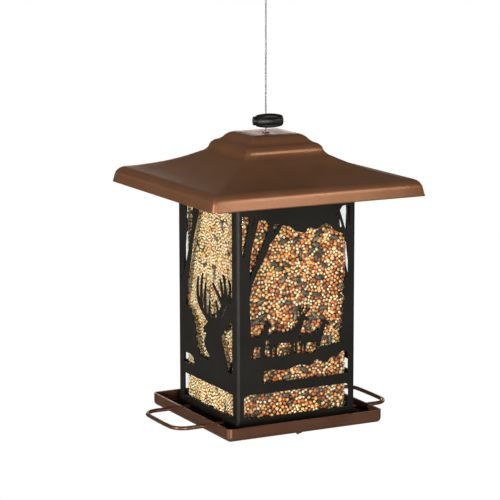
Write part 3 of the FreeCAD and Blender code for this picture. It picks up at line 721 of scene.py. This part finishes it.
def crowd(width, height, mix):
    """Grains scattered over a panel, then pushed apart until they only just touch."""
    area = width * height
    kind_of, radius = [], []
    for index, (name, kind) in enumerate(KINDS.items()):
        long, wide, _ = (half * MM for half in kind["size"])
        each = math.pi * long * wide
        number = int(COVER * mix[name] * area / each)
        kind_of += [index] * number
        radius += [math.sqrt(long * wide)] * number
    kind_of, radius = np.array(kind_of), np.array(radius)
    lean = rng.normal(LEAN_MEAN, LEAN_SPREAD, len(kind_of))
    half_length = KINDS[LONG_KIND]["size"][0] * MM * END_DISC_PLACE
    # The long seeds, whose numbers are the lowest because their kind comes first.
    big = np.flatnonzero(kind_of == 0)
    centres = rng.uniform([0, 0], [width, height], (len(kind_of), 2))
    drift = rng.uniform(*DRIFT_REGION, (DRIFTS, 2)) * [width, height]
    drifting = big[: len(big) // 3]
    middles = drift[rng.integers(0, DRIFTS, len(drifting))]
    centres[drifting] = middles + rng.normal(0, DRIFT_SPREAD, (len(drifting), 2))
    centres = np.clip(centres, 0, [width, height])
    for _ in range(CROWD_ROUNDS):
        spine = np.stack([np.cos(lean[big]), np.sin(lean[big])], axis=1) * half_length
        discs = np.concatenate([centres, centres[big] - spine, centres[big] + spine])
        owner = np.concatenate([np.arange(len(kind_of)), big, big])
        reach = np.concatenate([radius, radius[big], radius[big]])
        reach[owner < len(big)] *= LONG_DISC_RADIUS
        tree = kdtree.KDTree(len(discs))
        for index, (u, v) in enumerate(discs):
            tree.insert((u, v, 0), index)
        tree.balance()
        pairs = []
        for index, (u, v) in enumerate(discs):
            for _, other, _ in tree.find_range((u, v, 0), reach[index] + NEIGHBOURS_WITHIN):
                if other > index and owner[other] != owner[index]:
                    pairs.append((index, other))
        first, second = np.array(pairs).T
        offset = discs - centres[owner]
        for _ in range(CROWD_PUSHES):
            spots = centres[owner] + offset
            gap = spots[second] - spots[first]
            far = np.linalg.norm(gap, axis=1) + 1e-9
            push = np.clip(reach[first] + reach[second] - far, 0, None)
            step = gap / far[:, None] * push[:, None] * PUSH_SHARE
            heavy = np.where(owner < len(big), LONG_PUSH, 1.0)
            moved = np.zeros_like(centres)
            np.add.at(moved, owner[first], -step * heavy[first][:, None])
            np.add.at(moved, owner[second], step * heavy[second][:, None])
            centres += np.clip(moved, -FARTHEST_PUSH, FARTHEST_PUSH)
            centres = np.clip(centres, PANEL_MARGIN, [width - PANEL_MARGIN, height - PANEL_MARGIN])
    return kind_of, centres, lean


def lay_grains(kind_of, places, right, up, out, lean, painted_light):
    """Each kind's grains as points, triangles, tint, band and painted shade."""
    made = {}
    for index, (name, kind) in enumerate(KINDS.items()):
        mine = np.flatnonzero(kind_of == index)
        count = len(mine)
        template, triangles, band = grain_template(kind["outline"], kind["sides"])
        outward = out[mine]
        if name == LONG_KIND:
            tilt = rng.normal(0, LONG_TIP, (count, 1))
            turn = lean[mine][:, None]
            along = np.cos(turn) * right[mine] + np.sin(turn) * up[mine] + tilt * outward
        else:
            along = rng.normal(0, 1, (count, 3))
            along -= FLATTENING * np.sum(along * outward, axis=1)[:, None] * outward
        along = unit(along)
        across = np.cross(outward, along) + rng.normal(0, ROLL, (count, 1)) * outward
        thin = unit(np.cross(along, across))
        matrix = np.stack([along, np.cross(thin, along), thin], axis=2)
        growth = np.clip(rng.normal(1.0, kind["spread"], (count, 1)), *SIZE_LIMITS)
        size = np.array(kind["size"]) * MM * growth
        lumps = 1 + kind["uneven"] * rng.uniform(-1, 1, (count, len(template), 1))
        local = template[None] * lumps * size[:, None, :]
        offset = np.einsum("nij,nkj->nki", matrix, local)
        # Painted shade: each point's darkness comes from how far it faces into the heap, times the
        # layer's painted light.
        rise = np.einsum("nki,ni->nk", offset, outward) / (size[:, 2:] * PAINTED_SHADE_REACH)
        painted_shade = np.clip(PAINTED_SHADE_MIDDLE + PAINTED_SHADE_RISE * rise, PAINTED_SHADE_LEAST, 1.0) * painted_light[mine][:, None]
        faces = triangles[None] + (np.arange(count) * len(template))[:, None, None]
        tint = np.repeat(rng.uniform(0, 1, count), len(template))
        points = offset + places[mine][:, None, :]
        made[name] = (points.reshape(-1, 3), faces.reshape(-1, 3), tint, np.tile(band, count),
                      painted_shade.reshape(-1))
    return made


def seed_panel(face, width, height, mix, surface, keep):
    """Two layers of grains. surface turns places on the flat panel into places in space, with the
    directions right, up and out there, and keep says which of them stay."""
    gathered = {name: [] for name in KINDS}
    thin = np.array([kind["size"][2] for kind in KINDS.values()]) * MM
    for layer in range(LAYERS):
        kind_of, flat, lean = crowd(width, height, mix)
        places, right, up, out = surface(flat)
        play = rng.uniform(0, DEPTH_PLAY_MM, len(flat)) * MM
        depth = thin[kind_of] * GRAIN_DEPTH + layer * LAYER_GAP + play
        places = places - depth[:, None] * out
        stays = keep(places)
        # The second layer's colours are darkened further, as painted shade.
        painted_light = np.full(len(flat), SECOND_LAYER_PAINTED_LIGHT if layer else 1.0)
        rows = (kind_of, places, right, up, out, lean, painted_light)
        grains = lay_grains(*(row[stays] for row in rows))
        for name, arrays in grains.items():
            gathered[name].append(arrays)
    for name, layers in gathered.items():
        start, all_faces = 0, []
        for arrays in layers:
            all_faces.append(arrays[1] + start)
            start += len(arrays[0])
        grain = piece(f"{name}_{face}", np.concatenate([arrays[0] for arrays in layers]),
                      np.concatenate(all_faces), HUSKS[name], "feeder",
                      smooth=name != "corn")
        for number, label in ((2, "tint"), (3, "band"), (4, "painted_shade")):
            attribute = grain.data.attributes.new(label, "FLOAT", "POINT")
            values = np.concatenate([arrays[number] for arrays in layers])
            attribute.data.foreach_set("value", values.astype(np.float32))


def seed_top(places):
    """The heap's height at each place."""
    return SEED_MIDDLE + SEED_SLOPE[0] * places[:, 0] + SEED_SLOPE[1] * places[:, 1]


def spill(across, height):
    """How far seed bulges out through a port."""
    share = np.clip((PORT_HIGH - height) / (PORT_HIGH - PORT_LOW), 0, 1)
    inside = (np.abs(across) < PORT_HALF) & (height > PORT_LOW + PORT_SILL)
    return np.where(inside, share * PORT_SPILL, 0.0)


def wall_surface(quarter):
    """The inside of one pane, with half of the rounded corner at each end."""
    turn = quarter * math.pi / 2

    def surface(flat):
        along = flat[:, 0] - WALL_WIDTH / 2
        straight = np.clip(along, -WALL_FLAT, WALL_FLAT)
        angle = (along - straight) / PANE_CORNER
        x = straight + PANE_CORNER * np.sin(angle)
        y = -WALL_FLAT - PANE_CORNER * np.cos(angle)
        z = flat[:, 1] + SEED_FLOOR
        heading = angle + turn
        out = np.stack([np.sin(heading), -np.cos(heading), np.zeros_like(z)], axis=1)
        right = np.stack([np.cos(heading), np.sin(heading), np.zeros_like(z)], axis=1)
        up = np.broadcast_to([0.0, 0.0, 1.0], out.shape)
        cos, sin = math.cos(turn), math.sin(turn)
        places = np.stack([x * cos - y * sin, x * sin + y * cos, z], axis=1)
        return places + spill(along, z)[:, None] * out, right, up, out

    return surface


def top_surface(size):
    """The heap's sloping top, slightly uneven."""
    out = np.array([-SEED_SLOPE[0], -SEED_SLOPE[1], 1.0])
    out /= np.linalg.norm(out)
    right = np.array([1.0, 0.0, SEED_SLOPE[0]])
    right /= np.linalg.norm(right)
    up = np.cross(out, right)

    def surface(flat):
        places = np.array([0.0, 0.0, SEED_MIDDLE + TOP_RISE]) + (flat[:, :1] - size / 2) * right
        places = places + (flat[:, 1:] - size / 2) * up
        wave_x, wave_y = TOP_WAVES
        swell = TOP_SWELL * np.sin(places[:, 0] * wave_x) * np.cos(places[:, 1] * wave_y)
        places = places + swell[:, None] * out
        return places, *(np.broadcast_to(way, places.shape) for way in (right, up, out))

    return surface


def fill_hopper():
    """Grains against each pane, with what would stand above the heap left out, and on its top."""
    height = SEED_MIDDLE + WALL_SPARE - SEED_FLOOR
    for face, quarter, mix in (("front", 0, COMMON_MIX), ("right", 1, COMMON_MIX),
                               ("back", 2, COMMON_MIX), ("left", 3, PALE_MIX)):
        seed_panel(face, WALL_WIDTH, height, mix, wall_surface(quarter),
                   lambda places: places[:, 2] < seed_top(places) - WALL_BRIM)
    size = 2 * PANE_INSIDE + TOP_SPARE
    inside = PANE_INSIDE - TOP_INSET
    seed_panel("top", size, size, COMMON_MIX, top_surface(size),
               lambda places: np.all(np.abs(places[:, :2]) < inside, axis=1))


def seed_heart_painted_shade():
    """What shows in the gaps between the grains: more grain, with painted shadow, its colours
    darkened far below the grains' own.
    """
    heart = Shading("seed_heart", Roughness=0.7)
    colour = heart.ramp(heart.one_of(heart.cells(scale=HEART_GRAINS, output="Color")), [
        (0.0, (0.010, 0.008, 0.006)), (0.3, (0.06, 0.025, 0.010)), (0.65, (0.10, 0.06, 0.03)),
        (1.0, (0.14, 0.10, 0.06)),
    ])
    heart.feed("Base Color", colour)
    heart.bump(heart.cells(scale=HEART_GRAINS), strength=1.0, distance=0.0012)
    return heart.material


def seed_heart():
    """The inside of the filling, a few millimetres behind the panes, with a lumpy skin."""
    half = PANE_INSIDE - HEART_INSET
    around = 4 * HEART_STEPS
    waves = HEART_WAVES
    points = []
    for row in range(HEART_ROWS + 1):
        for place in range(around):
            quarter, along = divmod(place, HEART_STEPS)
            u = -half + 2 * half * along / HEART_STEPS
            x, y = [(u, -half), (half, u), (-u, half), (-half, -u)][quarter]
            top = SEED_MIDDLE + SEED_SLOPE[0] * x + SEED_SLOPE[1] * y - HEART_BELOW_TOP
            tall = top - SEED_FLOOR - HEART_LIFT
            z = SEED_FLOOR + HEART_LIFT + tall * row / HEART_ROWS
            lump = HEART_LUMP * math.sin(x * waves[0] + z * waves[1])
            lump *= math.cos(y * waves[2] - z * waves[3])
            points.append((x * (1 + lump / half), y * (1 + lump / half), z))
    faces = ring_faces(HEART_ROWS + 1, around) + end_faces(HEART_ROWS + 1, around)
    heart = piece("seed_heart", points, faces, seed_heart_painted_shade(), "feeder")
    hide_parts("seed_mix")


fill_hopper()
seed_heart()


# ---------------------------------------------------------------- light and floor

MIDDLE = (0, 0, TRAY_UNDERSIDE + 0.16)
LIP = (0, 0, ROOF_EDGE)
CAP = (0, 0, ROOF_TOP - 15 * MM)
FLOOR_HEIGHT = TRAY_UNDERSIDE - 0.32
FLOOR_REACH = 24.0
WHITE = (1, 1, 1)
CREAM = (1.0, 0.95, 0.87)
# Each light: where it is, what it points at, its width and height, its watts and its colour.
LIGHTS = {
    "left_key": ((-2.05, -0.62, -0.10), MIDDLE, (0.5, 0.5), 50, CREAM),
    "front_key": ((-0.65, -2.04, -0.36), MIDDLE, (0.5, 0.5), 47, CREAM),
    "lip_softbox": ((0.30, -0.86, 0.01), LIP, (0.13, 0.30), 1.0, (1.0, 0.99, 0.98)),
    "cap_softbox": ((0.40, -0.77, 0.16), CAP, (0.12, 0.10), 0.9, (1.0, 0.98, 0.95)),
    "right_softbox": ((2.50, 0.90, 0.10), MIDDLE, (1.2, 1.0), 20, WHITE),
    "back_softbox": ((0.70, 2.50, -0.15), MIDDLE, (1.4, 0.6), 10, WHITE),
    "floor_glow": ((-1.15, 2.05, 0.0), (-1.15, 2.05, FLOOR_HEIGHT), (0.8, 0.8), 3, WHITE),
}
# How bright the room, the backdrop and the ceiling are, and which way the last two lie, with the
# cosines to that way between which they fade in. BACKDROP_TOP has the cosines to straight down
# between which the backdrop fades in from above.
ROOM = 0.05
BACKDROP = 0.32
BACKDROP_WAY, BACKDROP_EDGE = (0.50, 0.86, 0.0), (0.55, 0.97)
BACKDROP_TOP = (-0.56, -0.14)
CEILING = 0.15
CEILING_WAY, CEILING_EDGE = (0.0, 0.25, 0.97), (0.3, 0.95)
ROOM_COLOUR = (1.0, 0.93, 0.85)


def area_light(name, place, aim, size, power, colour):
    data = bpy.data.lights.new(name, "AREA")
    data.shape = "RECTANGLE"
    data.size, data.size_y = size
    data.energy = power
    data.color = colour
    lamp = stand(name, data)
    lamp.location = place
    lamp.rotation_mode = "QUATERNION"
    lamp.rotation_quaternion = (Vector(aim) - Vector(place)).to_track_quat("-Z", "Y")


class Sky(Graph):
    """The world's brightness as sums and products of soft steps in direction."""

    def __init__(self):
        world = bpy.data.worlds.new("studio")
        bpy.context.scene.world = world
        world.use_nodes = True
        super().__init__(world.node_tree)
        self.direction = self.node("ShaderNodeTexCoord").outputs["Generated"]

    def facing(self, towards, low, high):
        """0 to 1 as the direction turns from low to high cosine with a given one."""
        inputs = {0: self.direction, 1: Vector(towards).normalized()}
        dot = self.node("ShaderNodeVectorMath", inputs, operation="DOT_PRODUCT").outputs["Value"]
        return self.range(dot, low, high, curve="SMOOTHSTEP")


def studio():
    """A dark room with a bright backdrop and a ceiling. The eye sees all of it as plain white."""
    sky = Sky()
    low_down = sky.facing((0.0, 0.0, -1.0), *BACKDROP_TOP)
    backdrop = sky.calc("MULTIPLY", sky.facing(BACKDROP_WAY, *BACKDROP_EDGE), low_down)
    backdrop = sky.calc("MULTIPLY", backdrop, BACKDROP)
    ceiling = sky.calc("MULTIPLY", sky.facing(CEILING_WAY, *CEILING_EDGE), CEILING)
    level = sky.calc("ADD", sky.calc("ADD", backdrop, ceiling), ROOM)
    seen = sky.node("ShaderNodeLightPath").outputs["Is Camera Ray"]
    background = sky.tree.nodes["Background"]
    sky.put(sky.calc("MAXIMUM", level, seen), background.inputs["Strength"])
    sky.put(sky.mix(seen, (*ROOM_COLOUR, 1), (*WHITE, 1)), background.inputs["Color"])
    for name, values in LIGHTS.items():
        area_light(name, *values)
    bpy.context.scene.view_settings.view_transform = "Standard"


def pale_floor():
    """A pale floor under the hanging feeder. The eye sees it as one with the white backdrop."""
    corners = ((-1, -1), (1, -1), (1, 1), (-1, 1))
    points = [(FLOOR_REACH * x, FLOOR_REACH * y, FLOOR_HEIGHT) for x, y in corners]
    mesh = bpy.data.meshes.new("floor")
    mesh.from_pydata(points, [], [(0, 1, 2, 3)])
    pale = Shading("pale_floor", Roughness=0.9)
    tone = pale.ramp(pale.noise(scale=3, detail=3), [(0.3, grey(0.36)), (0.7, grey(0.40))])
    pale.feed("Base Color", tone)
    white = pale.node("ShaderNodeEmission", {"Color": (*WHITE, 1), "Strength": 1.0})
    seen = pale.node("ShaderNodeLightPath").outputs["Is Camera Ray"]
    pale.surface(pale.mix_shaders(seen, pale.shader, white))
    mesh.materials.append(pale.material)
    stand("floor", mesh)


studio()
pale_floor()
